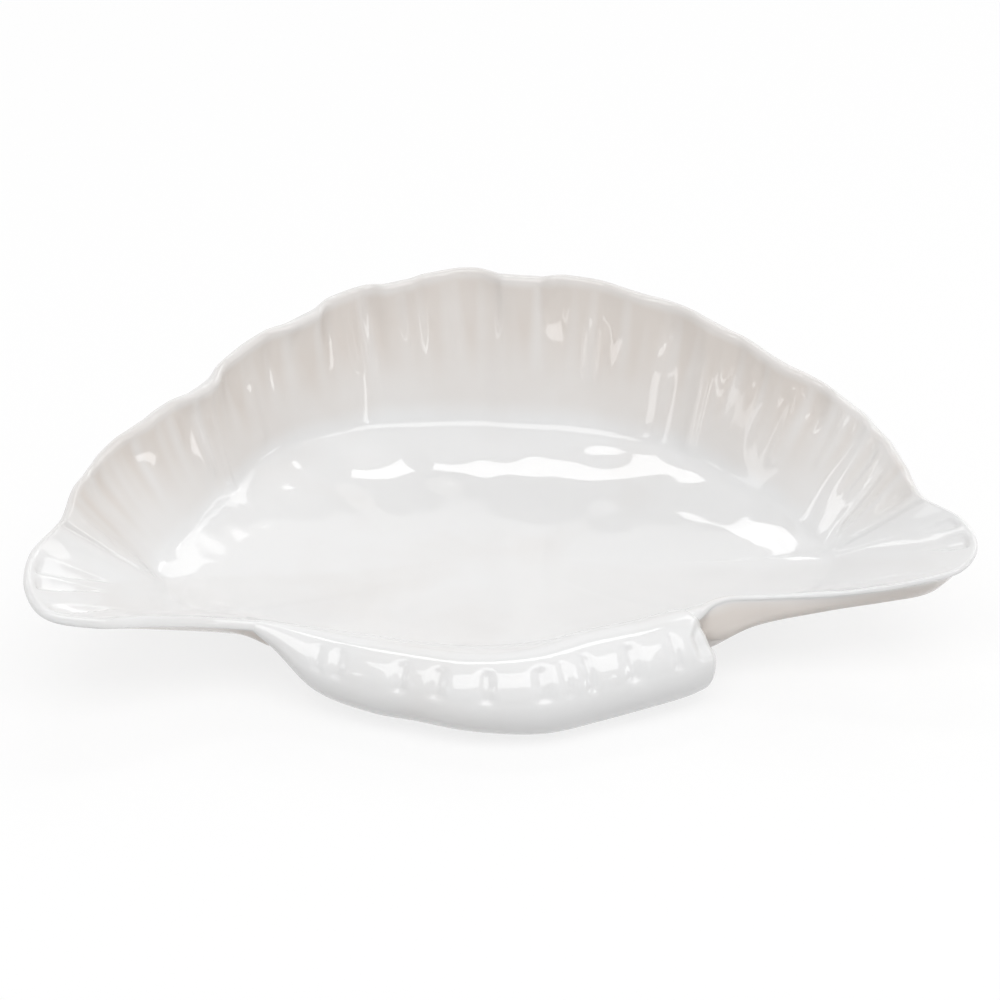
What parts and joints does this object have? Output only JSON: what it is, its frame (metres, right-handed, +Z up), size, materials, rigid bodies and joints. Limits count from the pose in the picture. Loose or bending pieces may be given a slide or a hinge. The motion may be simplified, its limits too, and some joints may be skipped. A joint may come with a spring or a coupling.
{
  "type": "shell trinket dish",
  "caption": "Glazed ceramic scallop shell dish with a fluted fan wall, two flared ears and a ribbed hinge roll, on a bare foot ring; holds rings, keys and other small things.",
  "frame": {"origin": "middle of the dish's box, on the table under the foot ring", "axes": "+X from the left ear to the right ear, +Y from the hinge roll to the back rim, +Z up"},
  "size_m": [0.1802, 0.1218, 0.0417],
  "materials": {
    "glaze": "glossy warm white glaze",
    "bisque": "bare fired clay, matt"
  },
  "bodies": {
    "root": {"shell_bowl": "glaze", "hinge_roll": "glaze", "foot_ring": "bisque"}
  },
  "joints": []
}
